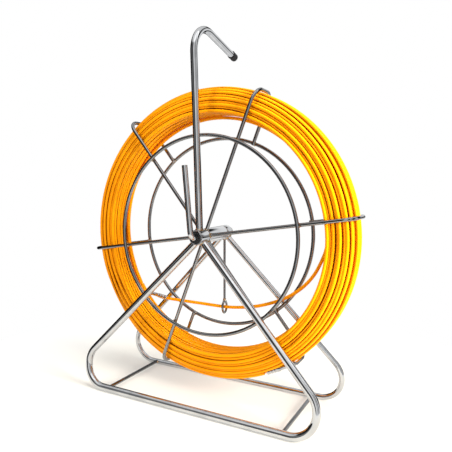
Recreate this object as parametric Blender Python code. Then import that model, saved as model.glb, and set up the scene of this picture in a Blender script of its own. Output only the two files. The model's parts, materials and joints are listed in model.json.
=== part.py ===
"""Duct rodder reel: a coil of fibreglass rod in a wire cage that turns on a chromed tube stand.

Metres, +Z up. The stand rests on z = 0 and the origin lies under the middle of the whole object.
The reel turns about an axle along Y. Behind the word "cage" below, y = 0 is the cage's mid-plane,
and the empties stand_base and reel_axis carry that local frame to its place.
"""
import math

import bmesh
import bpy
from mathutils import Matrix, Vector

# ---------------------------------------------------------------- driving dimensions
GAP = 0.0003                 # clearance between neighbouring pieces
ROD_R = 0.003                # 6 mm fibreglass rod
WIRE_R = 0.0033              # cage wire and base cross rods

AXIS_Z = 0.304               # axle height above the floor
RING_R = 0.180               # both cage rings, to the wire's centre
CAGE_R = 0.2735              # outer run of a cage wire
SPOKE_Y = 0.033              # plane of the front spokes, and of the rear stubs
FRONT_BEND, REAR_BEND = 0.026, 0.017
SPOKE_COUNT = 6
SPOKE_ANGLE = math.radians(8.6)
RING_Y = SPOKE_Y + 2 * WIRE_R + GAP

HUB_R = 0.0135               # hub tube and both bearing sleeves, outside
HUB_BORE_R = 0.0108
AXLE_R = 0.005
BORE_R = AXLE_R + GAP        # running bore round the axle
HUB_Y = (-0.0349, 0.0310)
HUB_DISC = 0.004
FRONT_SLEEVE_Y = (-0.0645, -0.0365)
REAR_SLEEVE_Y = (0.0326, 0.0506)
BUSH_LENGTH = 0.016
BUSH_RECESS = 0.0015         # the front bush sits this deep in its sleeve
FLANGE_R, FLANGE = 0.0122, 0.002
WASHER_R, WASHER = 0.0118, 0.001
COLLAR_R, COLLAR = 0.0095, 0.008
AXLE_END_Y = 0.0645

CRANK_Y = -0.0794            # plane of the crank arm
CRANK_LENGTH = 0.1265
CRANK_TILT = math.radians(5.3)
CRANK_BEND = 0.0115

FRONT_TUBE_R = 0.00675
REAR_TUBE_R = 0.00525
BASE_HALF = 0.2875           # half width to the stand's sharp corner
BASE_BEND = 0.0415
APEX_Z = AXIS_Z - 0.002
FRONT_FOOT_Y, FRONT_APEX_Y = -0.0987, -0.0484
REAR_FOOT_Y, REAR_APEX_Y = 0.0620, 0.0435
LEG_START = 0.0108           # leg's end, along the leg from the apex
CROSS_ROD_X = 0.178
CROSS_ROD_Z = 0.0071

POST_R = 0.00635
POST_FOOT_Y = -0.0508
POST_LEAN = math.radians(2.8)
POST_TOP_Z = AXIS_Z + 0.3630     # peak of the hook's centre line
HOOK_BEND = 0.045
HOOK_SLOPE = math.radians(12.7)
HOOK_ARM = 0.0957
CAP_R, CAP_LENGTH, CAP_GRIP = 0.0077, 0.017, 0.013

EYE_Y = 0.0405
EYE_R = 0.00225
EYE_WIDTH, EYE_HEIGHT = 0.017, 0.0245
EYE_DROP = 0.1470            # below the axle

COIL_PROFILE = (             # (radius, y) round the wound rod's section
    (0.2200, -0.0290), (0.2450, -0.0270), (0.2620, -0.0205), (0.2695, -0.0110),
    (0.2698, 0.0150), (0.2650, 0.0240), (0.2540, 0.0290), (0.2240, 0.0290), (0.2200, 0.0250))
FERRULE_R = 0.0045
INNER_FERRULE, OUTER_FERRULE = 0.045, 0.050
OUTER_END_R, OUTER_END_Y = 0.2665, -0.0130
OUTER_END_ANGLE = math.radians(-64.0)

# The rod's free inner lead, from its ferrule through the guide eye to the coil: x, y, z from the axis.
LEAD_ROUTE = (
    (-0.1360, 0.0236, -0.1392), (-0.1240, 0.0238, -0.1412), (-0.0890, 0.0275, -0.1430),
    (-0.0470, 0.0335, -0.1450), (0.0030, 0.0385, -0.1468), (0.0420, 0.0355, -0.1425),
    (0.0840, 0.0300, -0.1325), (0.1300, 0.0250, -0.1140), (0.1635, 0.0220, -0.0915),
    (0.1870, 0.0200, -0.0660), (0.2020, 0.0185, -0.0385), (0.2110, 0.0170, -0.0130))
LEAD_TURN = (math.radians(6), math.radians(212), 14)     # then round inside the coil
LEAD_TURN_R, LEAD_TURN_Y = 0.2160, 0.0160
LEAD_STEP = 0.0155

# The whole object runs from the front rail to the hook's cap: its middle is the origin.
HOOK_END_Y = (POST_FOOT_Y - (POST_TOP_Z - AXIS_Z - HOOK_BEND - HUB_R) * math.tan(POST_LEAN)
              + HOOK_BEND * (math.cos(POST_LEAN) + math.sin(HOOK_SLOPE))
              + (HOOK_ARM + CAP_LENGTH - CAP_GRIP) * math.cos(HOOK_SLOPE)
              + 0.61 * CAP_R * math.sin(HOOK_SLOPE))
CAGE_Y = -(FRONT_FOOT_Y - FRONT_TUBE_R + HOOK_END_Y) / 2

Y_AXIS = Vector((0, 1, 0))
Z_AXIS = Vector((0, 0, 1))


# ---------------------------------------------------------------- helpers
def material(name, colour, roughness, metallic):
    """One Principled material."""
    result = bpy.data.materials.new(name)
    result.use_nodes = True
    shader = result.node_tree.nodes["Principled BSDF"]
    shader.inputs["Base Color"].default_value = (*colour, 1)
    shader.inputs["Roughness"].default_value = roughness
    shader.inputs["Metallic"].default_value = metallic
    return result


def empty(name, location):
    result = bpy.data.objects.new(name, None)
    result.location = location
    bpy.context.collection.objects.link(result)
    return result


def finish_mesh(name, mesh, parent, look):
    """Close a bmesh into a smooth shaded object with outward faces."""
    bmesh.ops.recalc_face_normals(mesh, faces=mesh.faces[:])
    data = bpy.data.meshes.new(name)
    mesh.to_mesh(data)
    mesh.free()
    data.shade_smooth()
    data.set_sharp_from_angle(angle=math.radians(40))
    data.materials.append(look)
    result = bpy.data.objects.new(name, data)
    result.parent = parent
    bpy.context.collection.objects.link(result)
    return result


def fillet(corners, radii, steps):
    """A path through corners, with an arc of each inner corner's radius in place of the corner."""
    path = [Vector(corners[0])]
    for before, corner, after, radius in zip(corners, corners[1:], corners[2:], radii):
        corner = Vector(corner)
        back = (Vector(before) - corner).normalized()
        ahead = (Vector(after) - corner).normalized()
        half = back.angle(ahead) / 2
        centre = corner + (back + ahead).normalized() * radius / math.sin(half)
        start = corner + back * radius / math.tan(half)
        axis = back.cross(ahead).normalized()
        turn = -(math.pi - 2 * half)
        path += [centre + Matrix.Rotation(turn * i / steps, 3, axis) @ (start - centre)
                 for i in range(steps + 1)]
    path.append(Vector(corners[-1]))
    return path


def smooth_route(points, step):
    """Points about step apart on a Catmull-Rom curve through the given ones."""
    points = [Vector(p) for p in points]
    ends = [2 * points[0] - points[1], *points, 2 * points[-1] - points[-2]]
    dense = []
    for a, b, c, d in zip(ends, ends[1:], ends[2:], ends[3:]):
        for i in range(24):
            t = i / 24
            dense.append(b + (c - a) * t / 2 + (a - 2.5 * b + 2 * c - d / 2) * t * t
                         + (1.5 * b - a / 2 - 1.5 * c + d / 2) * t ** 3)
    dense.append(points[-1])
    total = sum((q - p).length for p, q in zip(dense, dense[1:]))
    count = round(total / step)
    result, travelled, wanted = [dense[0]], 0.0, total / count
    for p, q in zip(dense, dense[1:]):
        length = (q - p).length
        while travelled + length >= wanted * len(result) and len(result) < count:
            result.append(p.lerp(q, (wanted * len(result) - travelled) / length))
        travelled += length
    return result + [dense[-1]]


def tube_mesh(path, radius, sides, normal, phase=0.0, closed=False):
    """A round bar along path. A flat of its section faces phase from normal at the path's start."""
    mesh = bmesh.new()
    count = len(path)
    normal = Vector(normal)
    rings = []
    for i, point in enumerate(path):
        before = path[i - 1] if i or closed else None
        after = path[(i + 1) % count] if i < count - 1 or closed else None
        into = (point - before).normalized() if before is not None else None
        out = (after - point).normalized() if after is not None else None
        tangent = ((into or out) + (out or into)).normalized()
        normal = (normal - tangent * normal.dot(tangent)).normalized()
        side = tangent.cross(normal)
        inward = ((out or into) - (into or out)).normalized()
        mitre = 1 / tangent.dot(into or out) - 1
        ring = []
        for k in range(sides):
            angle = phase + (k + 0.5) * math.tau / sides
            reach = (normal * math.cos(angle) + side * math.sin(angle)) * radius / math.cos(math.pi / sides)
            ring.append(mesh.verts.new(point + reach + inward * reach.dot(inward) * mitre))
        rings.append(ring)
    spans = zip(rings, rings[1:] + rings[:1]) if closed else zip(rings, rings[1:])
    for one, two in spans:
        for k in range(sides):
            mesh.faces.new((one[k], one[(k + 1) % sides], two[(k + 1) % sides], two[k]))
    if not closed:
        mesh.faces.new(reversed(rings[0]))
        mesh.faces.new(rings[-1])
    return mesh


def tube(name, parent, look, path, radius, sides, normal, phase=0.0, closed=False):
    return finish_mesh(name, tube_mesh(path, radius, sides, normal, phase, closed), parent, look)


def turned(name, parent, look, profile, segments, place=None):
    """A piece turned about Y from its (radius, y) outline, which closes on itself or on the axis."""
    mesh = bmesh.new()
    rings = []
    for radius, y in profile:
        if radius == 0:
            rings.append([mesh.verts.new((0, y, 0))] * segments)
            continue
        rings.append([mesh.verts.new((radius * math.cos(a), y, radius * math.sin(a)))
                      for a in (math.tau * k / segments for k in range(segments))])
    for one, two in zip(rings, rings[1:] + rings[:1]):
        for k in range(segments):
            n = (k + 1) % segments
            corners = list(dict.fromkeys((one[k], one[n], two[n], two[k])))
            if len(corners) > 2:
                mesh.faces.new(corners)
    if place is not None:
        mesh.transform(place)
    return finish_mesh(name, mesh, parent, look)


def pipe_profile(inner, outer, start, end):
    return ((inner, start), (outer, start), (outer, end), (inner, end))


def along(direction, start):
    """The matrix that takes a piece turned about Y to one that starts at start, along direction."""
    turn = Y_AXIS.rotation_difference(Vector(direction).normalized())
    return Matrix.Translation(start) @ turn.to_matrix().to_4x4()


def cut(piece, cutter):
    """Take a cutter out of a piece. The cutter itself isn't part of the object."""
    cutter.hide_render = True
    cutter.display_type = "WIRE"
    modifier = piece.modifiers.new("cut_" + cutter.name, "BOOLEAN")
    modifier.operation = "DIFFERENCE"
    modifier.solver = "EXACT"
    modifier.object = cutter


# ---------------------------------------------------------------- the stand
def stand_frame(name, parent, look, radius, foot_y, apex_y, cutter):
    """One bent tube: two legs that meet the sleeve and the rail that rests on the floor."""
    apex = Vector((0, apex_y, APEX_Z))
    left = Vector((-BASE_HALF, foot_y, radius))
    right = Vector((BASE_HALF, foot_y, radius))
    start = apex + (left - apex).normalized() * LEG_START
    end = apex + (right - apex).normalized() * LEG_START
    path = fillet((start, left, right, end), (BASE_BEND, BASE_BEND), 8)
    plane = (right - left).cross(apex - left).normalized()
    rail_side = Vector((1, 0, 0)).cross(plane)
    down = math.atan2(-rail_side.z, -plane.z)
    cut(tube(name, parent, look, path, radius, 12, plane, phase=down), cutter)


def base_cross_rod(name, parent, look, x):
    """A straight wire from rail to rail, just above the floor."""
    front = Vector((x, FRONT_FOOT_Y + FRONT_TUBE_R + 2 * GAP, CROSS_ROD_Z))
    rear = Vector((x, REAR_FOOT_Y - REAR_TUBE_R - 2 * GAP, CROSS_ROD_Z))
    tube(name, parent, look, (front, rear), WIRE_R, 10, Z_AXIS)


def hook_points():
    """The hook's corner, the end of its arm and the arm's direction, in the plane x = 0."""
    foot = Vector((0, POST_FOOT_Y, AXIS_Z + HUB_R + 2 * GAP))
    up = Vector((0, -math.sin(POST_LEAN), math.cos(POST_LEAN)))
    arm = Vector((0, math.cos(HOOK_SLOPE), -math.sin(HOOK_SLOPE)))
    bend_z = POST_TOP_Z - HOOK_BEND * (1 + math.sin(POST_LEAN))
    bend_start = foot + up * ((bend_z - foot.z) / up.z)
    turn = math.pi / 2 + POST_LEAN + HOOK_SLOPE
    corner = bend_start + up * HOOK_BEND * math.tan(turn / 2)
    bend_end = corner + arm * HOOK_BEND * math.tan(turn / 2)
    return foot, corner, bend_end + arm * HOOK_ARM, arm


def carrying_hook(parent, chrome, rubber):
    """The post that stands on the front sleeve and bends back over the reel, and its end cap."""
    foot, corner, end, arm = hook_points()
    path = fillet((foot, corner, end), (HOOK_BEND,), 12)
    tube("hook_post", parent, chrome, path, POST_R, 12, (1, 0, 0))
    bore = POST_R / math.cos(math.pi / 12) + GAP
    outline = [(0, GAP), (bore, GAP), (bore, -CAP_GRIP), (CAP_R, -CAP_GRIP)]
    top = CAP_LENGTH - CAP_GRIP
    crown = CAP_R * 0.55
    outline += [(CAP_R - crown + crown * math.cos(a), top - crown * 0.7 * (1 - math.sin(a)))
                for a in (math.pi / 2 * i / 4 for i in range(4))]
    outline.append((0, top))
    turned("hook_end_cap", parent, rubber, outline, 20, along(arm, end))


def guide_eye(parent, look):
    """A wire that hangs from the rear sleeve and ends in a long eye, which leads the rod."""
    middle = Vector((0.0015, EYE_Y, AXIS_Z - EYE_DROP))
    loop = [middle + Vector((0, EYE_WIDTH / 2 * math.cos(a), EYE_HEIGHT / 2 * math.sin(a)))
            for a in (math.tau * i / 20 for i in range(20))]
    eye = tube("guide_eye", parent, look, loop, EYE_R, 8, (1, 0, 0), closed=True)
    top = Vector((middle.x, EYE_Y, AXIS_Z - HUB_R - 2 * GAP))
    bottom = middle + Z_AXIS * (EYE_HEIGHT / 2)
    stem = tube("guide_eye_stem", parent, look, (top, bottom), EYE_R * 0.98, 8, (1, 0, 0))
    stem.hide_render = True
    stem.display_type = "WIRE"
    join = eye.modifiers.new("weld_stem", "BOOLEAN")
    join.operation = "UNION"
    join.solver = "EXACT"
    join.object = stem


def bearings(parent, chrome, nylon):
    """Both fixed sleeves with the bushes that carry the axle: recessed in front, flanged behind."""
    turned("front_bearing_sleeve", parent, chrome,
           pipe_profile(HUB_BORE_R, HUB_R, *FRONT_SLEEVE_Y), 28)
    turned("rear_bearing_sleeve", parent, chrome,
           pipe_profile(HUB_BORE_R, HUB_R, *REAR_SLEEVE_Y), 28)
    body = HUB_BORE_R - GAP
    front = FRONT_SLEEVE_Y[0] + BUSH_RECESS
    turned("front_bush", parent, nylon, pipe_profile(BORE_R, body, front, front + BUSH_LENGTH), 24)
    mouth = REAR_SLEEVE_Y[1] + GAP
    turned("rear_bush", parent, nylon,
           ((BORE_R, mouth - BUSH_LENGTH), (body, mouth - BUSH_LENGTH), (body, mouth),
            (FLANGE_R, mouth), (FLANGE_R, mouth + FLANGE), (BORE_R, mouth + FLANGE)), 24)


# ---------------------------------------------------------------- the reel
def hub(parent, chrome, steel):
    """The tube that carries the spokes, its end discs, thrust washers and the pin to the axle."""
    tube_piece = turned("reel_hub", parent, chrome, pipe_profile(HUB_BORE_R, HUB_R, *HUB_Y), 28)
    disc_r = HUB_BORE_R - GAP
    turned("hub_disc_front", parent, steel,
           pipe_profile(BORE_R, disc_r, HUB_Y[0], HUB_Y[0] + HUB_DISC), 24)
    turned("hub_disc_rear", parent, steel,
           pipe_profile(BORE_R, disc_r, HUB_Y[1] - HUB_DISC, HUB_Y[1]), 24)
    turned("front_thrust_washer", parent, steel,
           pipe_profile(BORE_R, WASHER_R, HUB_Y[0] - GAP - WASHER, HUB_Y[0] - GAP), 24)
    turned("rear_thrust_washer", parent, steel,
           pipe_profile(BORE_R, WASHER_R, HUB_Y[1] + GAP, HUB_Y[1] + GAP + WASHER), 24)
    return tube_piece


def crank_axle(parent, look):
    """One bent tube: the axle through both sleeves and the hub, and the crank arm in front."""
    arm = Vector((-math.sin(CRANK_TILT), 0, math.cos(CRANK_TILT)))
    corner = Vector((0, CRANK_Y, 0))
    top = corner + arm * CRANK_LENGTH
    path = fillet((top, corner, (0, AXLE_END_Y, 0)), (CRANK_BEND,), 8)
    plane = arm.cross(Y_AXIS)
    crank = tube("crank_axle", parent, look, path, AXLE_R, 12, plane)
    bore = turned("crank_bore", parent, look, ((0, -0.03), (AXLE_R - 0.0012, -0.03),
                                               (AXLE_R - 0.0012, 0.002), (0, 0.002)), 16, along(arm, top))
    cut(crank, bore)
    return crank


def drive_pin(parent, look, hub_tube, crank):
    """A cross pin through hub and axle, so that crank and cage turn as one."""
    reach = HUB_R + 0.001
    y = HUB_Y[1] - 0.010
    radius = 0.0015
    path = (Vector((-reach, y, 0)), Vector((reach, y, 0)))
    tube("hub_drive_pin", parent, look, path, radius, 8, Z_AXIS)
    wide = (Vector((-reach - 0.01, y, 0)), Vector((reach + 0.01, y, 0)))
    for piece in (hub_tube, crank):
        cut(piece, tube("pin_hole_" + piece.name, parent, look, wide, radius + GAP, 8, Z_AXIS))


def retaining_collar(parent, look):
    """The collar behind the rear sleeve that keeps the axle in, with its set screw."""
    start = REAR_SLEEVE_Y[1] + 2 * GAP + FLANGE + GAP
    collar = turned("retaining_collar", parent, look,
                    pipe_profile(BORE_R, COLLAR_R, start, start + COLLAR), 24)
    y = start + COLLAR / 2
    radius = 0.002
    path = (Vector((0, y, AXLE_R / math.cos(math.pi / 12) + GAP)), Vector((0, y, COLLAR_R + 0.0015)))
    tube("collar_set_screw", parent, look, path, radius, 8, Y_AXIS)
    hole = (Vector((0, y, 0)), Vector((0, y, COLLAR_R + 0.01)))
    cut(collar, tube("screw_hole", parent, look, hole, radius + GAP, 8, Y_AXIS))


def cage_wire(index, parent, look):
    """A wire that is a front spoke, the bend round the coil and the rear stub in one."""
    angle = SPOKE_ANGLE + index * math.tau / SPOKE_COUNT
    out = Vector((math.cos(angle), 0, math.sin(angle)))
    corners = [out * (HUB_R + GAP) - Y_AXIS * SPOKE_Y,
               out * CAGE_R - Y_AXIS * SPOKE_Y,
               out * CAGE_R + Y_AXIS * SPOKE_Y,
               out * (RING_R - WIRE_R) + Y_AXIS * SPOKE_Y]
    path = fillet(corners, (FRONT_BEND, REAR_BEND), 7)
    tube(f"cage_wire_{index + 1}", parent, look, path, WIRE_R, 8, out.cross(Y_AXIS))


def cage_ring(name, parent, look, y):
    """A wire hoop that the spokes are welded to."""
    path = [Vector((RING_R * math.cos(a), y, RING_R * math.sin(a)))
            for a in (math.tau * i / 56 for i in range(56))]
    tube(name, parent, look, path, WIRE_R, 8, Y_AXIS, closed=True)


# ---------------------------------------------------------------- the rod
def ferrule(name, parent, look, start, direction, length):
    """A crimped end fitting with a blind socket for the rod and a rounded nose."""
    socket = ROD_R / math.cos(math.pi / 8) + GAP
    depth = 0.012
    profile = ((0, depth), (socket, depth), (socket, 0), (FERRULE_R - 0.0005, 0), (FERRULE_R, 0.001),
               (FERRULE_R, length - 0.006), (FERRULE_R * 0.8, length - 0.002), (FERRULE_R * 0.45, length),
               (0, length))
    return turned(name, parent, look, profile, 16, along(direction, start))


def wound_rod(parent, orange, chrome):
    """The coil, held by the cage, and the fitting on its outer end, which lies in a groove of it."""
    coil = turned("rod_coil", parent, orange, COIL_PROFILE, 64)
    out = Vector((math.cos(OUTER_END_ANGLE), 0, math.sin(OUTER_END_ANGLE)))
    tangent = Vector((-math.sin(OUTER_END_ANGLE), 0, math.cos(OUTER_END_ANGLE)))
    start = out * OUTER_END_R + Y_AXIS * OUTER_END_Y
    ferrule("rod_outer_ferrule", parent, chrome, start, tangent, OUTER_FERRULE)
    groove_r = FERRULE_R + 2 * GAP
    path = (start - tangent * 0.002, start + tangent * (OUTER_FERRULE + 0.03))
    cut(coil, tube("outer_end_groove", parent, orange, path, groove_r, 12, out))


def rod_lead(parent, orange, chrome):
    """The rod's inner end: a loose turn inside the coil, then out through the guide eye."""
    start, end, count = LEAD_TURN
    turn = [(LEAD_TURN_R * math.cos(a), LEAD_TURN_Y, LEAD_TURN_R * math.sin(a))
            for a in (start + (end - start) * i / count for i in range(count + 1))]
    lift = Vector((0, 0, AXIS_Z))
    path = [lift + p for p in smooth_route([*LEAD_ROUTE, *turn], LEAD_STEP)]
    tube("rod_lead", parent, orange, path, ROD_R, 8, Y_AXIS)
    direction = (path[0] - path[1]).normalized()
    socket_end = path[0] - direction * (0.012 - GAP)
    ferrule("rod_inner_ferrule", parent, chrome, socket_end, direction, INNER_FERRULE)


# ---------------------------------------------------------------- build
def build():
    for old in list(bpy.data.objects):
        bpy.data.objects.remove(old, do_unlink=True)
    chrome = material("chrome", (0.78, 0.79, 0.80), 0.08, 1.0)
    steel = material("zinc_steel", (0.62, 0.62, 0.60), 0.30, 1.0)
    rubber = material("black_rubber", (0.02, 0.02, 0.02), 0.60, 0.0)
    nylon = material("black_nylon", (0.03, 0.03, 0.03), 0.45, 0.0)
    orange = material("orange_rod", (1.0, 0.36, 0.01), 0.30, 0.0)

    stand = empty("stand_base", (0, CAGE_Y, 0))
    axis = empty("reel_axis", (0, CAGE_Y, AXIS_Z))
    reach = HUB_R + GAP
    cope = turned("sleeve_cope", axis, chrome, ((0, -0.09), (reach, -0.09), (reach, 0.09), (0, 0.09)), 28)

    stand_frame("stand_front_frame", stand, chrome, FRONT_TUBE_R, FRONT_FOOT_Y, FRONT_APEX_Y, cope)
    stand_frame("stand_rear_frame", stand, chrome, REAR_TUBE_R, REAR_FOOT_Y, REAR_APEX_Y, cope)
    base_cross_rod("base_cross_rod_left", stand, chrome, -CROSS_ROD_X)
    base_cross_rod("base_cross_rod_right", stand, chrome, CROSS_ROD_X)
    carrying_hook(stand, chrome, rubber)
    guide_eye(stand, chrome)
    bearings(axis, chrome, nylon)
    rod_lead(stand, orange, chrome)

    hub_tube = hub(axis, chrome, steel)
    crank = crank_axle(axis, chrome)
    drive_pin(axis, steel, hub_tube, crank)
    retaining_collar(axis, steel)
    for index in range(SPOKE_COUNT):
        cage_wire(index, axis, chrome)
    cage_ring("cage_ring_front", axis, chrome, -RING_Y)
    cage_ring("cage_ring_rear", axis, chrome, RING_Y)
    wound_rod(axis, orange, chrome)


build()
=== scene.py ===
"""The looks of the duct rodder reel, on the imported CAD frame.

Metres, in the frame of the CAD: +Z up, and the reel's axle runs along Y through CENTRE.
The tubes, wires, hub pieces and rod are rebuilt smooth, the coil is wound turn by turn, and every
joint gets its weld bead.
"""
import json
import math
import random

import bmesh
import bpy
from mathutils import Matrix, Vector, noise

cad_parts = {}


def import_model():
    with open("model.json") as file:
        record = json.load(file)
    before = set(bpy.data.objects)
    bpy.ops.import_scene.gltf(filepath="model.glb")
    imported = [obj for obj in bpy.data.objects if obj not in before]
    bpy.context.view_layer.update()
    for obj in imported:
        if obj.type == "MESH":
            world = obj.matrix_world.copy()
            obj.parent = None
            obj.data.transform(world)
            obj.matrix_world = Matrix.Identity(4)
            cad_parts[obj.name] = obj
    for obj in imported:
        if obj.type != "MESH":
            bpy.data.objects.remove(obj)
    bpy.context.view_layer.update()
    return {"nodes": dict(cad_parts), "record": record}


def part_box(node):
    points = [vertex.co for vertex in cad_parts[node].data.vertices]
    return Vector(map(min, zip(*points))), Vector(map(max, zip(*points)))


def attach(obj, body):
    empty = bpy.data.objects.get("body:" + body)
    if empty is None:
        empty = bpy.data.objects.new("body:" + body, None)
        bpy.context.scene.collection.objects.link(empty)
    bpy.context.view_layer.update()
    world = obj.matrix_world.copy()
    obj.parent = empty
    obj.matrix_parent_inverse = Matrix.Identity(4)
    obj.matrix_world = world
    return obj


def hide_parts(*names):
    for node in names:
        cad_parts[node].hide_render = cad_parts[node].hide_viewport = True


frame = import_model()
MM = 0.001
DOWN, UP = Vector((0, 0, -1)), Vector((0, 0, 1))
Y_AXIS = Vector((0, 1, 0))


# ---------------------------------------------------------------- places, from the frame
CENTRE = Vector(frame["record"]["behaviour"]["joints"][0]["pos_m"])


def span(node, axis):
    """A node's lowest and highest value along one axis, from the reel's centre."""
    low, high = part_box(node)
    return low[axis] - CENTRE[axis], high[axis] - CENTRE[axis]


ring_y = span("cage_ring_front", 1)
ring_x = span("cage_ring_front", 0)
WIRE_R = (ring_y[1] - ring_y[0]) / 2
RING_Y = -sum(ring_y) / 2
RING_R = (ring_x[1] - ring_x[0]) / 2 - WIRE_R
HUB_R = span("reel_hub", 0)[1]
HUB_BORE_R = span("hub_disc_front", 0)[1] + 0.3 * MM
COIL_R = span("rod_coil", 0)[1]
COIL_Y = span("rod_coil", 1)

# ---------------------------------------------------------------- sizes, as in the CAD
GAP = 0.3 * MM
ROD_R = 3 * MM
CAGE_R = 273.5 * MM
SPOKE_Y = RING_Y - 2 * WIRE_R - GAP
FRONT_BEND, REAR_BEND = 26 * MM, 17 * MM
SPOKE_ANGLE = math.radians(8.6)
SPOKES = 6

AXLE_R = 5 * MM
CRANK_Y, CRANK_LENGTH, CRANK_BEND = -79.4 * MM, 126.5 * MM, 11.5 * MM
CRANK_TILT = math.radians(5.3)
AXLE_END_Y = 64.5 * MM

FRONT_TUBE_R, REAR_TUBE_R = 6.75 * MM, 5.25 * MM
BASE_HALF, BASE_BEND = 287.5 * MM, 41.5 * MM
APEX_DROP = 2 * MM
FRONT_FOOT_Y, FRONT_APEX_Y = -98.7 * MM, -48.4 * MM
REAR_FOOT_Y, REAR_APEX_Y = 62.0 * MM, 43.5 * MM
CROSS_ROD_X, CROSS_ROD_Z = 178 * MM, 7.1 * MM

POST_R, POST_FOOT_Y, POST_LEAN = 6.35 * MM, -50.8 * MM, math.radians(2.8)
POST_TOP, HOOK_BEND, HOOK_SLOPE = 362.9 * MM, 45 * MM, math.radians(12.7)
HOOK_ARM, CAP_R, CAP_LENGTH, CAP_GRIP = 95.7 * MM, 7.7 * MM, 17 * MM, 13 * MM

EYE_X, EYE_Y, EYE_R, EYE_DROP = 1.5 * MM, 40.5 * MM, 2.25 * MM, 147 * MM
EYE_WIDTH, EYE_HEIGHT = 17 * MM, 24.5 * MM

# The coil, in millimetres: its front and rear outline by radius, and how its turns lie in it.
FRONT_EDGE = ((220, -29.0), (245, -27.0), (262, -20.5), (269.5, -11.0))
REAR_EDGE = ((220, 25.0), (224, 29.0), (254, 29.0), (265, 24.0), (269.8, 15.0))
LAYERS = 9
INNER_TURN, OUTER_TURN = 223.2, 266.7
TURN_PITCH, ROW_RECESS = 6.05, 2.5
TURN_STEPS, WOBBLE_SEED = 144, 41
CROSS_ANGLE, CROSS_WINDOW = math.radians(196), math.radians(36)
END_RUN = math.radians(50)   # where the last turn leaves its row for the outer ferrule
SKIN = 0.1                   # kept free between a turn and the coil's box
NEIGHBOUR_REACH = 8.2
CREASE = "crease"            # painted shade: how deep between its neighbours a spot on the winding lies, which darkens the rod there
# where the painted crease shade sets in and how wide it fades in, as cosines of the angle to a neighbour
CREASE_START, CREASE_WIDTH = 0.62, 0.32

OUTER_END_R, OUTER_END_Y = 266.5 * MM, -13 * MM
OUTER_END_ANGLE = math.radians(-64)
OUTER_FERRULE, INNER_FERRULE, FERRULE_R = 50 * MM, 45 * MM, 4.5 * MM

# The rod's loose inner end, from the reel's centre, in millimetres: from its ferrule to the coil.
LEAD_ROUTE = (
    (-136, 23.6, -139.2), (-124, 23.8, -141.2), (-89, 27.5, -143), (-47, 33.5, -145),
    (3, 38.5, -146.8), (42, 35.5, -142.5), (84, 30, -132.5), (130, 25, -114),
    (163.5, 22, -91.5), (187, 20, -66), (202, 18.5, -38.5), (211, 17, -13))
LEAD_TURN_R, LEAD_TURN_Y = 216 * MM, 16 * MM
LEAD_TURN_START, LEAD_TURN_END = 6, 212      # degrees round the axle

WELD_LUMPS = 420             # lumps per metre of weld
SEAM_STEPS = 40

# The studio.
VIEW_YAW, VIEW_PITCH = math.radians(28.157), math.radians(5.16)
CAMERA_PLACE = (435.2 * MM, -763.9 * MM, 398.9 * MM)
SENSOR, LENS = 36.0, 37.6
AMBIENT = 0.55
# The room in the chrome, in greys: its walls by bearing, from behind the camera round by its left, a
# panel and the ground behind the object (each by bearing and by height) and the ceiling by height.
WALLS = ((0.00, 1.15), (0.03, 1.00), (0.06, 0.10), (0.12, 0.03), (0.16, 0.22), (0.20, 0.25), (0.22, 0.01),
         (0.75, 0.01), (0.77, 1.10), (0.815, 1.20), (0.83, 0.02), (0.87, 0.02), (0.885, 0.90), (0.925, 1.00),
         (0.935, 0.02), (0.955, 0.02), (0.965, 1.00), (1.00, 1.15))
PANEL = ((0.48, 0.0), (0.51, 1.0), (0.66, 1.0), (0.69, 0.0))
PANEL_HEIGHT = ((0.52, 0.0), (0.55, 1.0), (0.73, 1.0), (0.78, 0.0))
GROUND = ((0.40, 0.0), (0.44, 1.0), (0.74, 1.0), (0.76, 0.0))
GROUND_HEIGHT = ((0.03, 0.0), (0.08, 0.8), (0.40, 0.9), (0.435, 0.0))
CEILING = ((0.78, 0.0), (0.82, 0.02), (0.86, 0.80), (1.0, 0.90))
FLOOR_GLOW, FLOOR_R, FLOOR_PAPER = 0.34, 0.62, (0.47, 0.452, 0.400)


# ---------------------------------------------------------------- paths
def at(x, y, z):
    """A point given from the reel's centre."""
    return CENTRE + Vector((x, y, z))


def floor_point(x, y, z):
    """A point given from under the reel's centre, with its height above the floor."""
    return Vector((CENTRE.x + x, CENTRE.y + y, z))


def fillet(corners, radii, steps=28):
    """A path through corners, with an arc of each inner corner's radius in place of the corner."""
    path = [Vector(corners[0])]
    for before, corner, after, radius in zip(corners, corners[1:], corners[2:], radii):
        corner = Vector(corner)
        back = (Vector(before) - corner).normalized()
        ahead = (Vector(after) - corner).normalized()
        half = back.angle(ahead) / 2
        centre = corner + (back + ahead).normalized() * radius / math.sin(half)
        start = corner + back * radius / math.tan(half)
        axis = back.cross(ahead).normalized()
        turn = -(math.pi - 2 * half)
        path += [centre + Matrix.Rotation(turn * i / steps, 3, axis) @ (start - centre)
                 for i in range(steps + 1)]
    path.append(Vector(corners[-1]))
    return path


def smooth_route(points, step):
    """Points about step apart on a Catmull-Rom curve through the given ones."""
    points = [Vector(p) for p in points]
    ends = [2 * points[0] - points[1], *points, 2 * points[-1] - points[-2]]
    dense = []
    for a, b, c, d in zip(ends, ends[1:], ends[2:], ends[3:]):
        count = max(2, round((c - b).length / step))
        for i in range(count):
            t = i / count
            dense.append(b + (c - a) * t / 2 + (a - 2.5 * b + 2 * c - d / 2) * t * t
                         + (1.5 * b - a / 2 - 1.5 * c + d / 2) * t ** 3)
    return dense + [points[-1]]


def between(table, x):
    """The value at x on a line through a table's points, held level past its ends."""
    if x <= table[0][0]:
        return table[0][1]
    for (x0, y0), (x1, y1) in zip(table, table[1:]):
        if x <= x1:
            return y0 + (y1 - y0) * (x - x0) / (x1 - x0)
    return table[-1][1]


def ease(t):
    """A smooth step from 0 to 1."""
    t = min(max(t, 0), 1)
    return t * t * (3 - 2 * t)


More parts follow.
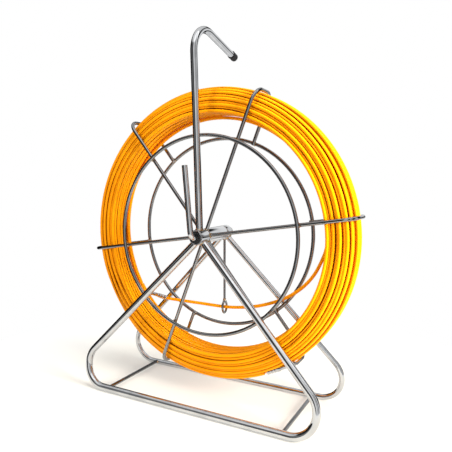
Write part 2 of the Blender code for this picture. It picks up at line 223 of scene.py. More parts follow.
# ---------------------------------------------------------------- meshes
def piece(name, mesh, look, body, replaces=(), sharp=35):
    """A finished piece from a bmesh: smooth shaded, on its body."""
    bmesh.ops.recalc_face_normals(mesh, faces=mesh.faces[:])
    data = bpy.data.meshes.new(name)
    mesh.to_mesh(data)
    mesh.free()
    data.shade_smooth()
    data.set_sharp_from_angle(angle=math.radians(sharp))
    data.materials.append(look)
    result = bpy.data.objects.new(name, data)
    bpy.context.collection.objects.link(result)
    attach(result, body)
    if replaces:
        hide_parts(*replaces)
    return result


def add_sweep(mesh, path, radius, sides=24, closed=False, start=((0, 1),), end=((0, 1),), swell=None,
              shade=None):
    """Adds a round bar along path. start and end list its end rings as (how far out in metres, radius
    factor), swell gives a factor for the radius at (ring, side), and shade the painted shade in the
    crease at (ring, direction out of the bar), kept on each vertex."""
    layer = mesh.verts.layers.float.new(CREASE) if shade else None
    count = len(path)
    stations = []
    for i, point in enumerate(path):
        before = path[i - 1] if i or closed else None
        after = path[(i + 1) % count] if i < count - 1 or closed else None
        into = (point - before).normalized() if before is not None else None
        out = (after - point).normalized() if after is not None else None
        into, out = into or out, out or into
        tangent = (into + out).normalized()
        stations.append((point, tangent, out - into, 1 / tangent.dot(into) - 1, 1.0))
    if not closed:
        head, tail = stations[0], stations[-1]
        first = [(head[0] - head[1] * away, head[1], Vector(), 0, factor) for away, factor in start]
        last = [(tail[0] + tail[1] * away, tail[1], Vector(), 0, factor) for away, factor in end]
        stations = first[::-1] + stations[1:-1] + last
    normal = stations[0][1].orthogonal().normalized()
    rings = []
    for i, (point, tangent, bend, mitre, factor) in enumerate(stations):
        normal = (normal - tangent * normal.dot(tangent)).normalized()
        side = tangent.cross(normal)
        inward = bend.normalized() if bend.length > 1e-9 else Vector()
        ring = []
        for k in range(sides):
            angle = math.tau * k / sides
            reach = radius * factor * (swell(i, k) if swell else 1)
            offset = (normal * math.cos(angle) + side * math.sin(angle)) * reach
            ring.append(mesh.verts.new(point + offset + inward * offset.dot(inward) * mitre))
            # the painted crease shade at this vertex
            if shade:
                ring[-1][layer] = shade(min(i, count - 1), offset / reach)
        rings.append(ring)
    twist = 0
    if closed:
        twist = min(range(sides), key=lambda k: (rings[-1][0].co - rings[0][k].co).length)
        rings.append(rings[0][twist:] + rings[0][:twist])
    for one, two in zip(rings, rings[1:]):
        for k in range(sides):
            mesh.faces.new((one[k], one[(k + 1) % sides], two[(k + 1) % sides], two[k]))
    if not closed:
        mesh.faces.new(reversed(rings[0]))
        mesh.faces.new(rings[-1])
    return mesh


def sweep(*args, **options):
    """A new mesh with one round bar, as add_sweep takes it."""
    return add_sweep(bmesh.new(), *args, **options)


def round_end(radius, amount=0.35):
    """End rings of a bar whose edge is rounded over by that share of its radius."""
    edge = radius * amount
    steps = [math.pi / 2 * i / 4 for i in range(5)]
    return [(edge * (math.sin(a) - 1), 1 - amount * (1 - math.cos(a))) for a in steps]


def open_end(radius, wall, depth):
    """End rings of an open tube: a small chamfer, the mouth and the bore's far end."""
    inner = (radius - wall) / radius
    lip = 0.35 * MM
    return [(-lip, 1), (-lip / 3, 1 - lip / 3 / radius), (0, 1 - lip / radius),
            (0, inner + lip / 2 / radius), (-lip / 2, inner), (-depth, inner)]


def turned(profile, segments=72, place=None):
    """A mesh turned about the axle from its (radius, y) outline in metres from the reel's centre."""
    mesh = bmesh.new()
    rings = []
    for radius, y in profile:
        if radius == 0:
            rings.append([mesh.verts.new((0, y, 0))] * segments)
            continue
        rings.append([mesh.verts.new((radius * math.cos(a), y, radius * math.sin(a)))
                      for a in (math.tau * k / segments for k in range(segments))])
    for one, two in zip(rings, rings[1:] + rings[:1]):
        for k in range(segments):
            n = (k + 1) % segments
            corners = list(dict.fromkeys((one[k], one[n], two[n], two[k])))
            if len(corners) > 2:
                mesh.faces.new(corners)
    mesh.transform(place or Matrix.Translation(CENTRE))
    return mesh


def rounded(outline, edge):
    """An outline with each corner cut to a small round, for turned()."""
    result = []
    for i, corner in enumerate(outline):
        corner = Vector(corner)
        before, after = Vector(outline[i - 1]), Vector(outline[(i + 1) % len(outline)])
        if corner.x == 0:
            result.append(tuple(corner))
            continue
        back, ahead = (before - corner), (after - corner)
        reach = min(edge, back.length * 0.45, ahead.length * 0.45)
        one, two = corner + back.normalized() * reach, corner + ahead.normalized() * reach
        for t in (0, 0.3, 0.7, 1):
            result.append(tuple(one.lerp(corner, t).lerp(corner.lerp(two, t), t)))
    return result


def pipe(inner, outer, start, end, edge=0.5 * MM):
    """A turned tube from start to end along the axle, with its edges rounded."""
    return turned(rounded(((inner, start), (outer, start), (outer, end), (inner, end)), edge))


def along(direction, start):
    """The matrix that takes a piece turned about Y to one that starts at start, along direction."""
    turn = Y_AXIS.rotation_difference(Vector(direction).normalized())
    return Matrix.Translation(start) @ turn.to_matrix().to_4x4()


def lump(position, seed, amount):
    """A factor near 1 that varies smoothly over a weld's surface."""
    return 1 + amount * noise.noise(position * WELD_LUMPS + Vector((seed * 7.3, 1.7, 3.1)))


def add_seam(mesh, origin, direction, radius, bead, seed):
    """Adds the fillet weld where a bar from the axle, along direction, leaves a sleeve or the hub."""
    direction = direction.normalized()
    side = direction.orthogonal().normalized()
    other = direction.cross(side)
    path = []
    for k in range(SEAM_STEPS):
        angle = math.tau * k / SEAM_STEPS
        offset = origin + (side * math.cos(angle) + other * math.sin(angle)) * radius
        flat, step = Vector((offset.x, offset.z)), Vector((direction.x, direction.z))
        a, b, c = step.dot(step), flat.dot(step), flat.dot(flat) - HUB_R ** 2
        reach = (-b + math.sqrt(max(b * b - a * c, 0))) / a
        path.append(CENTRE + offset + direction * reach)
    add_sweep(mesh, path, bead, sides=12, closed=True,
              swell=lambda i, k: lump(path[i % SEAM_STEPS] + Vector((k * MM, 0, 0)), seed, 0.55))
    return mesh


def add_blob(mesh, centre, axes, seed):
    """Adds a lumpy weld bead, an ellipsoid with the given half axes as vectors."""
    made = bmesh.ops.create_icosphere(mesh, subdivisions=3, radius=1)["verts"]
    for vertex in made:
        x, y, z = vertex.co
        place = centre + axes[0] * x + axes[1] * y + axes[2] * z
        vertex.co = centre + (place - centre) * lump(place, seed, 0.38)
    return mesh


# ---------------------------------------------------------------- materials
class Look:
    """A node material under construction, in the piece's own metres."""

    def __init__(self, name, colour, roughness, metallic=0.0):
        self.material = bpy.data.materials.new(name)
        self.material.use_nodes = True
        self.nodes = self.material.node_tree.nodes
        self.links = self.material.node_tree.links
        self.shader = self.nodes["Principled BSDF"]
        self.shader.inputs["Base Color"].default_value = (*colour, 1)
        self.shader.inputs["Roughness"].default_value = roughness
        self.shader.inputs["Metallic"].default_value = metallic
        self.coords = self.nodes.new("ShaderNodeTexCoord").outputs["Object"]

    def noise(self, scale, detail=3.0, stretch=None):
        """A noise of so many cycles per metre."""
        node = self.nodes.new("ShaderNodeTexNoise")
        node.inputs["Scale"].default_value = scale
        node.inputs["Detail"].default_value = detail
        coords = self.coords
        if stretch:
            mapping = self.nodes.new("ShaderNodeMapping")
            mapping.inputs["Scale"].default_value = stretch
            self.links.new(coords, mapping.inputs["Vector"])
            coords = mapping.outputs["Vector"]
        self.links.new(coords, node.inputs["Vector"])
        return node.outputs["Fac"]

    def ramp(self, source, stops):
        """Colours or greys at places from 0 to 1."""
        node = self.nodes.new("ShaderNodeValToRGB")
        elements = node.color_ramp.elements
        while len(elements) < len(stops):
            elements.new(0.5)
        for element, (place, colour) in zip(elements, stops):
            element.position = place
            element.color = (*colour, 1) if isinstance(colour, tuple) else (colour, colour, colour, 1)
        self.links.new(source, node.inputs["Fac"])
        return node.outputs["Color"]

    def colour(self, source, stops):
        self.links.new(self.ramp(source, stops), self.shader.inputs["Base Color"])

    def roughness(self, source, low, high):
        self.links.new(self.ramp(source, ((0.3, low), (0.7, high))), self.shader.inputs["Roughness"])

    def bump(self, source, height, strength=1.0):
        node = self.nodes.new("ShaderNodeBump")
        node.inputs["Distance"].default_value = height
        node.inputs["Strength"].default_value = strength
        self.links.new(source, node.inputs["Height"])
        self.links.new(node.outputs["Normal"], self.shader.inputs["Normal"])


def chrome_look(name, colour, low, high):
    """Bright plate on drawn tube: hardly any colour, faint haze in patches and drawn waviness."""
    look = Look(name, colour, low, 1.0)
    dull = tuple(c * 0.86 for c in colour)
    look.colour(look.noise(38, 4), ((0.35, dull), (0.6, colour)))
    look.roughness(look.noise(90, 5), low, high)
    look.bump(look.noise(60, 1), 0.10 * MM, 0.015)
    return look.material


def weld_look():
    """A plated weld bead: silver with golden brown heat tint in patches."""
    look = Look("weld_bead", (0.55, 0.42, 0.26), 0.3, 1.0)
    look.colour(look.noise(170, 4), ((0.30, (0.20, 0.11, 0.05)), (0.48, (0.50, 0.34, 0.17)),
                                     (0.66, (0.72, 0.68, 0.60))))
    look.roughness(look.noise(300, 3), 0.16, 0.42)
    look.bump(look.noise(900, 3), 0.25 * MM, 0.6)
    return look.material


def rod_look():
    """The rod's orange jacket: even, satin, with faint cloudiness and fine scuffs, and painted shade in the
    creases between its turns.
    """
    look = Look("rod_jacket", (0.94, 0.33, 0.004), 0.4)
    clean = look.ramp(look.noise(22, 4), ((0.30, (0.90, 0.300, 0.0010)), (0.70, (0.96, 0.345, 0.002))))
    # painted shade: the crease attribute mixes a dark red-brown into the jacket where turns lie side by side
    crease = look.nodes.new("ShaderNodeAttribute")
    crease.attribute_name = CREASE
    crease_shade = look.nodes.new("ShaderNodeMix")
    crease_shade.data_type = "RGBA"
    crease_shade.inputs["B"].default_value = (0.17, 0.018, 0.0, 1)
    look.links.new(crease.outputs["Fac"], crease_shade.inputs["Factor"])
    look.links.new(clean, crease_shade.inputs["A"])
    look.links.new(crease_shade.outputs["Result"], look.shader.inputs["Base Color"])
    look.roughness(look.noise(120, 5), 0.36, 0.52)
    look.bump(look.noise(350, 2), 0.04 * MM, 0.15)
    look.shader.inputs["IOR"].default_value = 1.46
    look.shader.inputs["Specular IOR Level"].default_value = 0.10
    return look.material


def rubber_look():
    """Matt black rubber with a fine grain."""
    look = Look("cap_rubber", (0.008, 0.008, 0.009), 0.55)
    look.colour(look.noise(140, 5), ((0.40, (0.004, 0.004, 0.005)), (0.75, (0.014, 0.0135, 0.013))))
    look.roughness(look.noise(260, 4), 0.42, 0.68)
    look.shader.inputs["Specular IOR Level"].default_value = 0.2
    look.bump(look.noise(1400, 3), 0.12 * MM, 0.5)
    return look.material


def nylon_look():
    """Black nylon, a little shinier than the rubber."""
    look = Look("bush_nylon", (0.016, 0.016, 0.017), 0.42)
    look.colour(look.noise(180, 4), ((0.30, (0.010, 0.010, 0.011)), (0.60, (0.022, 0.022, 0.023))))
    look.roughness(look.noise(240, 4), 0.34, 0.55)
    look.bump(look.noise(900, 2), 0.06 * MM, 0.4)
    return look.material


def zinc_look():
    """Satin zinc plate on small turned parts."""
    look = Look("zinc_plate", (0.60, 0.60, 0.58), 0.3, 1.0)
    look.colour(look.noise(220, 5), ((0.32, (0.44, 0.43, 0.40)), (0.62, (0.68, 0.68, 0.66))))
    look.roughness(look.noise(150, 4, (1, 8, 1)), 0.24, 0.44)
    look.bump(look.noise(500, 3, (1, 12, 1)), 0.05 * MM, 0.4)
    return look.material


def floor_look():
    """A pale sheet of studio paper with a painted glow, weak near the object and full at the rim, so that it
    brightens to white away from the object.
    """
    look = Look("studio_paper", (0.46, 0.45, 0.43), 0.8)
    fade = look.nodes.new("ShaderNodeTexGradient")
    fade.gradient_type = "SPHERICAL"
    scale = look.nodes.new("ShaderNodeMapping")
    scale.inputs["Scale"].default_value = (1 / FLOOR_R, 1 / FLOOR_R, 1 / FLOOR_R)
    look.links.new(look.coords, scale.inputs["Vector"])
    look.links.new(scale.outputs["Vector"], fade.inputs["Vector"])
    look.colour(fade.outputs["Fac"], ((0.02, (0.05, 0.05, 0.05)), (0.50, FLOOR_PAPER)))
    # painted light: the paper glows, more strongly away from the object
    glow = look.ramp(fade.outputs["Fac"], ((0.02, 1.0), (0.50, FLOOR_GLOW)))
    look.links.new(glow, look.shader.inputs["Emission Strength"])
    look.shader.inputs["Emission Color"].default_value = (1, 0.995, 0.985, 1)
    look.shader.inputs["Specular IOR Level"].default_value = 0.1
    return look.material


chrome = chrome_look("chrome_tube", (0.62, 0.63, 0.645), 0.03, 0.08)
wire_chrome = chrome_look("chrome_wire", (0.30, 0.305, 0.31), 0.035, 0.075)
weld = weld_look()
orange = rod_look()
rubber = rubber_look()
nylon = nylon_look()
zinc = zinc_look()


# ---------------------------------------------------------------- the stand
def stand_frame(name, radius, foot_y, apex_y):
    """One bent tube from sleeve to sleeve, over the rail on the floor, and its legs' welds."""
    apex = Vector((0, apex_y, -APEX_DROP))
    corners = [Vector((side * BASE_HALF, foot_y, radius - CENTRE.z)) for side in (-1, 1)]
    starts = [apex + (corner - apex).normalized() * (HUB_R - 3 * MM) for corner in corners]
    path = fillet([CENTRE + p for p in (starts[0], *corners, starts[1])], (BASE_BEND, BASE_BEND), 40)
    piece(name + "_tube", sweep(path, radius, 40), chrome, "stand", (name,))
    seams = bmesh.new()
    for i, corner in enumerate(corners):
        add_seam(seams, apex, corner - apex, radius, 1.5 * MM, i + radius * 1000)
    piece(name + "_welds", seams, weld, "stand")


def base_cross_rods():
    """The straight wires between both rails, and the beads at their ends."""
    beads = bmesh.new()
    for side, name in ((-1, "base_cross_rod_left"), (1, "base_cross_rod_right")):
        front = floor_point(side * CROSS_ROD_X, FRONT_FOOT_Y + FRONT_TUBE_R - 1 * MM, CROSS_ROD_Z)
        rear = floor_point(side * CROSS_ROD_X, REAR_FOOT_Y - REAR_TUBE_R + 1 * MM, CROSS_ROD_Z)
        low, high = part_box(name)
        piece(name + "_wire", sweep([front, rear], (high.z - low.z) / 2, 24), wire_chrome, "stand",
              (name,))
        for end, way in ((front, 1), (rear, -1)):
            for edge in (-1, 1):
                spot = end + Vector((edge * WIRE_R, way * 1.8 * MM, -0.6 * MM))
                add_blob(beads, spot, (Vector((1.7, 0, 0)) * MM, Vector((0, 2.2, 0)) * MM,
                                       Vector((0, 0, 2.6)) * MM), side + edge * 3 + way)
    piece("base_cross_rod_welds", beads, weld, "stand")


def carrying_hook():
    """The post, welded on the front sleeve, its bend over the reel and the rubber cap."""
    up = Vector((0, -math.sin(POST_LEAN), math.cos(POST_LEAN)))
    arm = Vector((0, math.cos(HOOK_SLOPE), -math.sin(HOOK_SLOPE)))
    foot = Vector((0, POST_FOOT_Y, HUB_R + 2 * GAP))
    bend_z = POST_TOP - HOOK_BEND * (1 + math.sin(POST_LEAN))
    start = foot + up * ((bend_z - foot.z) / up.z)
    turn = math.pi / 2 + POST_LEAN + HOOK_SLOPE
    corner = start + up * HOOK_BEND * math.tan(turn / 2)
    end = corner + arm * (HOOK_BEND * math.tan(turn / 2) + HOOK_ARM)
    path = fillet([CENTRE + p for p in (foot - up * 3 * MM, corner, end)], (HOOK_BEND,), 48)
    piece("hook_post_tube", sweep(path, POST_R, 40), chrome, "stand", ("hook_post",))
    seam = add_seam(bmesh.new(), foot - up * foot.z, up, POST_R, 1.5 * MM, 5)
    piece("hook_post_weld", seam, weld, "stand")

    top, lip, crown = CAP_LENGTH - CAP_GRIP, 0.6 * MM, 0.55 * CAP_R
    outline = [(0, GAP), (POST_R, GAP), (POST_R, lip - CAP_GRIP), (POST_R + lip, -CAP_GRIP),
               (CAP_R - lip, -CAP_GRIP), (CAP_R, lip - CAP_GRIP), (CAP_R, 3 * MM - CAP_GRIP),
               (CAP_R - 0.35 * MM, 3.6 * MM - CAP_GRIP)]
    outline += [(CAP_R - crown + (crown - 0.2 * MM) * math.cos(a),
                 top - crown * 0.7 * (1 - math.sin(a))) for a in (math.pi / 2 * i / 12 for i in range(13))]
    outline.append((0, top))
    piece("hook_rubber_cap", turned(outline, 64, along(arm, CENTRE + end)), rubber, "stand",
          ("hook_end_cap",))


def guide_eye():
    """The hanging wire and its eye: one wire, twisted back round its own neck."""
    middle = at(EYE_X, EYE_Y, -EYE_DROP)
    neck = EYE_HEIGHT / 2 + 1.0 * MM
    loop = []
    for i in range(65):
        a = math.pi / 2 + math.tau * i / 64
        pinch = 1 - 0.28 * ease((math.sin(a) - 0.2) / 0.8)
        loop.append(middle + Vector((0, EYE_WIDTH / 2 * math.cos(a) * pinch, EYE_HEIGHT / 2 * math.sin(a))))
    top = at(EYE_X, EYE_Y, -HUB_R + 1.5 * MM)
    stem = [top + (middle + UP * neck - top) * i / 12 for i in range(13)]
    mesh = sweep(stem[:-1] + [middle + UP * (neck - 1.5 * MM)], EYE_R, 20)
    add_sweep(mesh, loop[:-1], EYE_R, 20, closed=True)
    piece("guide_eye_wire", mesh, wire_chrome, "stand", ("guide_eye",))
    joint = add_blob(bmesh.new(), middle + UP * (neck + 1 * MM),
                     (Vector((2.9, 0, 0)) * MM, Vector((0, 3.4, 0)) * MM, Vector((0, 0, 4.2)) * MM), 11)
    add_seam(joint, Vector((EYE_X, EYE_Y, 0)), DOWN, EYE_R, 1.1 * MM, 12)
    piece("guide_eye_welds", joint, weld, "stand")


def bearings():
    """Both fixed sleeves and their bushes."""
    for which in ("front", "rear"):
        start, end = span(which + "_bearing_sleeve", 1)
        piece(which + "_sleeve_tube", pipe(HUB_BORE_R, HUB_R, start, end, 0.8 * MM), chrome, "stand",
              (which + "_bearing_sleeve",))
    body_r, bore, flange = HUB_BORE_R - GAP, AXLE_R + GAP, 2 * MM
    start, end = span("front_bush", 1)
    piece("front_bush_recessed", pipe(bore, body_r, start, end), nylon, "stand",
          ("front_bush",))
    start, end = span("rear_bush", 1)
    flange_r = span("rear_bush", 0)[1]
    outline = [(bore, start), (body_r, start), (body_r, end - flange), (flange_r, end - flange),
               (flange_r, end), (bore, end)]
    piece("rear_bush_flanged", turned(rounded(outline, 0.5 * MM)), nylon, "stand",
          ("rear_bush",))


# ---------------------------------------------------------------- the reel
def hub_and_crank():
    """The hub tube, the bent crank and the collar behind."""
    start, end = span("reel_hub", 1)
    piece("hub_tube", pipe(HUB_BORE_R, HUB_R, start, end, 0.6 * MM), chrome, "reel",
          ("reel_hub",))
    arm = Vector((-math.sin(CRANK_TILT), 0, math.cos(CRANK_TILT)))
    corner = Vector((0, CRANK_Y, 0))
    corners = [CENTRE + p for p in (corner + arm * CRANK_LENGTH, corner, Vector((0, AXLE_END_Y, 0)))]
    mesh = sweep(fillet(corners, (CRANK_BEND,), 32), AXLE_R, 36,
                 start=open_end(AXLE_R, 1.2 * MM, 30 * MM), end=round_end(AXLE_R, 0.12))
    piece("crank_and_axle", mesh, chrome, "reel", ("crank_axle",))

    start, end = span("retaining_collar", 1)
    collar_r = span("retaining_collar", 0)[1]
    piece("collar_turned", pipe(AXLE_R + GAP, collar_r, start, end, 0.9 * MM), zinc, "reel",
          ("retaining_collar",))


def cage():
    """Six bent wires, two hoops and the beads where they cross and where they meet the hub."""
    beads, tinted = bmesh.new(), bmesh.new()
    for index in range(SPOKES):
        angle = SPOKE_ANGLE + index * math.tau / SPOKES
        out = Vector((math.cos(angle), 0, math.sin(angle)))
        tangent = out.cross(Y_AXIS)
        corners = [CENTRE + p for p in (out * (HUB_R - 1.5 * MM) - Y_AXIS * SPOKE_Y,
                                        out * CAGE_R - Y_AXIS * SPOKE_Y, out * CAGE_R + Y_AXIS * SPOKE_Y,
                                        out * (RING_R - WIRE_R) + Y_AXIS * SPOKE_Y)]
        node = f"cage_wire_{index + 1}"
        piece(node + "_bent", sweep(fillet(corners, (FRONT_BEND, REAR_BEND), 16), WIRE_R, 24,
                                    end=round_end(WIRE_R)), wire_chrome, "reel", (node,))
        add_seam(beads, -Y_AXIS * SPOKE_Y, out, WIRE_R, 1.2 * MM, index + 20)
        for way in (-1, 1):
            for edge in (-1, 1):
                spot = CENTRE + out * (RING_R + edge * 2.4 * MM) + Y_AXIS * way * (RING_Y + SPOKE_Y) / 2
                for turn in (-1, 1):
                    add_blob(tinted, spot + tangent * turn * 2.2 * MM,
                             (out * 1.9 * MM, Y_AXIS * 2.0 * MM, tangent * 1.8 * MM),
                             index + edge * 0.3 + way * 9 + turn * 0.7)
    piece("cage_hub_welds", beads, weld, "reel")
    piece("cage_ring_welds", tinted, weld, "reel")
    for node, y in (("cage_ring_front", -RING_Y), ("cage_ring_rear", RING_Y)):
        path = [at(RING_R * math.cos(a), y, RING_R * math.sin(a))
                for a in (math.tau * i / 240 for i in range(240))]
        piece(node + "_hoop", sweep(path, WIRE_R, 24, closed=True), wire_chrome, "reel", (node,))


# ---------------------------------------------------------------- the rod
def winding_slots():
    """(layer, radius, y) in millimetres for every turn, wound to and fro from the inside out."""
    slots = []
    for layer in range(LAYERS):
        radius = INNER_TURN + (OUTER_TURN - INNER_TURN) * layer / (LAYERS - 1)
        recess = ROW_RECESS if layer % 2 else 0
        front = between(FRONT_EDGE, radius) + ROD_R / MM + recess
        rear = between(REAR_EDGE, radius) - ROD_R / MM
        count = int((rear - front) / TURN_PITCH) + 1
        row = [(layer, radius, front + (rear - front) * i / (count - 1)) for i in range(count)]
        slots += row[::-1] if layer % 2 == 0 else row
    return slots


def wound_rod():
    """The coil as one long winding, from its innermost turn to the outer ferrule. Each turn
    runs beside the last and moves over to the next place in one stretch of the round."""
    slots = winding_slots()
    rng = random.Random(WOBBLE_SEED)
    wobble = [[(rng.uniform(0.2, 0.62), rng.uniform(0.25, 0.8), rng.uniform(0, math.tau),
                rng.uniform(0, math.tau)) for _ in range(3)] for _ in slots]
    start_angle = math.radians(LEAD_TURN_END)
    first_crossing = CROSS_ANGLE + math.tau
    neighbours = [[math.atan2(b[2] - a[2], b[1] - a[1]) for b in slots
                   if b is not a and math.dist(a[1:], b[1:]) < NEIGHBOUR_REACH] for a in slots]
    margin = ROD_R / MM + SKIN
    layers, turns = {}, {}
    rounds = len(slots) + (OUTER_END_ANGLE - start_angle) % math.tau / math.tau - 1
    total_steps = int(TURN_STEPS * rounds)
    last = start_angle + total_steps * math.tau / TURN_STEPS
    for i in range(total_steps + 1):
        angle = start_angle + i * math.tau / TURN_STEPS
        turn = (angle - first_crossing) / math.tau + 1
        index = max(0, min(int(math.floor(turn)), len(slots) - 1))
        into = ease((turn - math.floor(turn)) * math.tau / CROSS_WINDOW) if turn >= 1 else 1
        old = slots[max(index - 1, 0)]
        new = slots[index]
        place = Vector(old[1:]).lerp(Vector(new[1:]), into)
        for k in range(3):
            before = wobble[max(index - 1, 0)][k]
            for amount, (r_size, y_size, p, q) in ((into, wobble[index][k]), (1 - into, before)):
                place.x += amount * r_size * math.sin((k + 1) * angle + p) * 0.85
                place.y += amount * y_size * (math.sin((k + 1) * angle + q) + 0.15) * 0.9
        place.x = min(place.x, COIL_R / MM - margin)
        place.y = min(max(place.y, COIL_Y[0] / MM + margin), COIL_Y[1] / MM - margin)
        finish = ease(1 - (last - angle) / END_RUN)
        place = place.lerp(Vector((OUTER_END_R, OUTER_END_Y)) / MM, finish)
        point = at(place.x * MM * math.cos(angle), place.y * MM, place.x * MM * math.sin(angle))
        layers.setdefault(new[0], []).append(point)
        turns.setdefault(new[0], []).append((index, angle, into))

    def crease(turn, direction):
        """The painted shade at a spot: how far it faces the turns beside its own, at the old place and the
        new.
        """
        index, angle, into = turn
        radial = direction.x * math.cos(angle) + direction.z * math.sin(angle)
        facing = math.atan2(direction.y, radial)
        near, far = [max(ease((math.cos(facing - n) - CREASE_START) / CREASE_WIDTH) for n in neighbours[i])
                     for i in (index, max(index - 1, 0))]
        # painted shade: stronger and weaker round each turn, and halved on the outermost layer
        depth = 0.70 + 0.30 * math.sin(angle * 1.5 + wobble[index][0][2])
        faint = 0.5 if slots[index][0] == LAYERS - 1 else 1
        return depth * faint * (near * into + far * (1 - into))

    names = sorted(layers)
    for layer in names:
        path = layers[layer]
        if layer + 1 in layers:
            path = path + layers[layer + 1][:1]
        where = turns[layer]
        # each vertex carries its painted crease shade
        mesh = sweep(path, ROD_R, 24, shade=lambda i, d: crease(where[min(i, len(where) - 1)], d))
        piece(f"rod_winding_{layer + 1}", mesh, orange, "reel", ("rod_coil",))
    return layers[names[-1]][-1]


def ferrule(name, body, mouth, direction, length, node):
    """A crimped steel end: rolled lip, three crimp grooves, a waist and a rounded nose."""
    outline = [(0, 11 * MM), (ROD_R, 11 * MM), (ROD_R, 0.4 * MM), (ROD_R + 0.4 * MM, 0),
               (FERRULE_R - 0.5 * MM, 0), (FERRULE_R, 0.8 * MM)]
    for groove in (7, 13, 19):
        outline += [(FERRULE_R, (groove - 1.6) * MM), (FERRULE_R - 0.7 * MM, (groove - 0.5) * MM),
                    (FERRULE_R - 0.7 * MM, (groove + 0.5) * MM), (FERRULE_R, (groove + 1.6) * MM)]
    waist = length - 24 * MM
    outline += [(FERRULE_R, waist), (FERRULE_R * 0.80, waist + 2 * MM), (FERRULE_R * 0.80, length - 9 * MM),
                (FERRULE_R * 0.98, length - 7.5 * MM)]
    outline += [(FERRULE_R * (0.42 + 0.56 * math.cos(a)), length - 4.5 * MM + 4.5 * MM * math.sin(a))
                for a in (math.pi / 2 * i / 8 for i in range(9))]
    outline.append((0, length))
    piece(name, turned(outline, 40, along(direction, mouth)), chrome, body, (node,))


def rod_lead():
    """The loose inner end: its turn inside the coil, the run through the guide eye, and its fitting."""
    turn = [(LEAD_TURN_R * math.cos(a), LEAD_TURN_Y, LEAD_TURN_R * math.sin(a))
            for a in (math.radians(LEAD_TURN_START + (LEAD_TURN_END - LEAD_TURN_START) * i / 14)
                      for i in range(15))]
    route = [at(*(Vector(p) * MM)) for p in LEAD_ROUTE] + [at(*p) for p in turn]
    path = smooth_route(route, 4 * MM)
    piece("rod_loose_end", sweep(path, ROD_R, 20), orange, "stand", ("rod_lead",))
    direction = (route[0] - route[1]).normalized()
    ferrule("rod_inner_fitting", "stand", route[0] - direction * 11.7 * MM, direction, INNER_FERRULE,
            "rod_inner_ferrule")


def outer_end():
    """The fitting on the coil's outer end."""
    out = Vector((math.cos(OUTER_END_ANGLE), 0, math.sin(OUTER_END_ANGLE)))
    tangent = Vector((-out.z, 0, out.x))
    start = CENTRE + out * OUTER_END_R + Y_AXIS * OUTER_END_Y
    ferrule("rod_outer_fitting", "reel", start, tangent, OUTER_FERRULE, "rod_outer_ferrule")


def kept_nodes():
    """CAD nodes whose shape is right: they only get their finish."""
    for node in ("hub_disc_front", "hub_disc_rear", "front_thrust_washer", "rear_thrust_washer",
                 "hub_drive_pin", "collar_set_screw"):
        frame["nodes"][node].material_slots[0].material = zinc


# ---------------------------------------------------------------- studio
def aim(obj, place, target):
    """Puts a light at place and turns it to target."""
    obj.location = place
    obj.rotation_euler = (Vector(target) - Vector(place)).to_track_quat("-Z", "Y").to_euler()


def area_light(name, place, target, width, height, power, colour=(1, 1, 1)):
    """A soft light that the chrome doesn't mirror."""
    data = bpy.data.lights.new(name, "AREA")
    data.shape = "RECTANGLE"
    data.size, data.size_y = width, height
    data.energy = power
    data.color = colour
    light = bpy.data.objects.new(name, data)
    light.visible_glossy = False
    bpy.context.collection.objects.link(light)
    aim(light, place, target)


def camera():
    """A little above the axle, turned to look at the crank side from the right."""
    data = bpy.data.cameras.new("camera")
    data.sensor_width = SENSOR
    data.lens = LENS
    data.clip_start = 0.02
    view = bpy.data.objects.new("camera", data)
    x, y, z = CAMERA_PLACE
    view.location = (x, y + CENTRE.y, z)
    view.rotation_euler = (math.pi / 2 - VIEW_PITCH, 0, VIEW_YAW)
    bpy.context.collection.objects.link(view)
    bpy.context.scene.camera = view


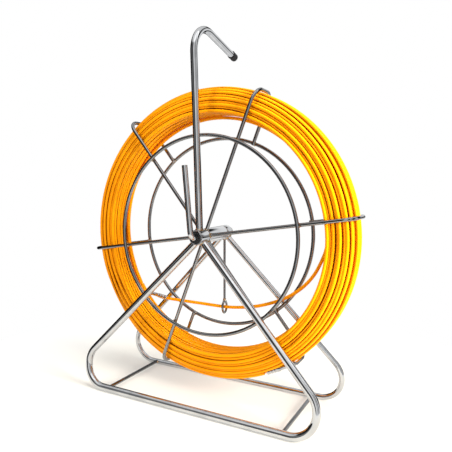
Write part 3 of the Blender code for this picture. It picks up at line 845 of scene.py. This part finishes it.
def world():
    """A white backdrop for the picture, an even grey for soft light, and for the chrome to mirror a
    dark room with pale patches behind the object and a few tall strips."""
    scene = bpy.context.scene
    scene.world = bpy.data.worlds.new("studio")
    scene.world.use_nodes = True
    nodes, links = scene.world.node_tree.nodes, scene.world.node_tree.links
    direction = nodes.new("ShaderNodeTexCoord").outputs["Generated"]
    split = nodes.new("ShaderNodeSeparateXYZ")
    links.new(direction, split.inputs[0])

    def math_node(operation, first, second):
        node = nodes.new("ShaderNodeMath")
        node.operation = operation
        for socket, value in zip(node.inputs, (first, second, second)):
            if isinstance(value, (int, float)):
                socket.default_value = value
            else:
                links.new(value, socket)
        return node.outputs[0]

    def ramp(source, stops):
        node = nodes.new("ShaderNodeValToRGB")
        elements = node.color_ramp.elements
        while len(elements) < len(stops):
            elements.new(0.5)
        for element, (place, grey) in zip(elements, stops):
            element.position = place
            element.color = (grey, grey, grey, 1)
        links.new(source, node.inputs["Fac"])
        return node.outputs["Color"]

    bearing = math_node("DIVIDE", math_node("ARCTAN2", split.outputs["X"], split.outputs["Y"]), math.tau)
    turned_bearing = math_node("FRACT", math_node("ADD", bearing, 0.5 + VIEW_YAW / math.tau), 0)
    height = math_node("MULTIPLY_ADD", split.outputs["Z"], 0.5)
    panel = math_node("MULTIPLY", ramp(turned_bearing, PANEL), ramp(height, PANEL_HEIGHT))
    ground = math_node("MULTIPLY", ramp(turned_bearing, GROUND), ramp(height, GROUND_HEIGHT))
    walls = math_node("ADD", ramp(turned_bearing, WALLS), panel)
    room = math_node("ADD", math_node("ADD", walls, ramp(height, CEILING)), ground)
    path = nodes.new("ShaderNodeLightPath")
    mirrored = nodes.new("ShaderNodeMix")
    mirrored.data_type = "RGBA"
    mirrored.inputs["A"].default_value = (AMBIENT, AMBIENT, AMBIENT, 1)
    links.new(path.outputs["Is Glossy Ray"], mirrored.inputs["Factor"])
    links.new(room, mirrored.inputs["B"])
    seen = nodes.new("ShaderNodeMix")
    seen.data_type = "RGBA"
    seen.inputs["B"].default_value = (1, 1, 1, 1)
    links.new(path.outputs["Is Camera Ray"], seen.inputs["Factor"])
    links.new(mirrored.outputs["Result"], seen.inputs["A"])
    links.new(seen.outputs["Result"], nodes["Background"].inputs["Color"])


def floor():
    """A disc of pale, glowing paper that fades into the backdrop."""
    mesh = bmesh.new()
    bmesh.ops.create_circle(mesh, cap_ends=True, segments=96, radius=FLOOR_R)
    data = bpy.data.meshes.new("floor")
    mesh.to_mesh(data)
    mesh.free()
    data.materials.append(floor_look())
    result = bpy.data.objects.new("floor", data)
    bpy.context.collection.objects.link(result)


def studio():
    """The camera, the room, the floor and the lights."""
    camera()
    world()
    floor()
    middle = (0, 0, 0.30)
    area_light("key_right", (2.2, -0.35, 0.78), middle, 0.8, 1.3, 165, (1.0, 0.985, 0.96))
    area_light("fill_front_left", (-0.7, -2.2, 0.9), middle, 0.4, 1.3, 22)
    area_light("fill_back", (-0.9, 2.2, 1.0), middle, 0.6, 1.2, 22)
    area_light("overhead", (0.1, -0.3, 2.4), middle, 0.9, 0.6, 26)
    settings = bpy.context.scene.view_settings
    settings.view_transform = "Standard"
    settings.exposure = 0.0


stand_frame("stand_front_frame", FRONT_TUBE_R, FRONT_FOOT_Y, FRONT_APEX_Y)
stand_frame("stand_rear_frame", REAR_TUBE_R, REAR_FOOT_Y, REAR_APEX_Y)
base_cross_rods()
carrying_hook()
guide_eye()
bearings()
hub_and_crank()
cage()
wound_rod()
rod_lead()
outer_end()
kept_nodes()
studio()
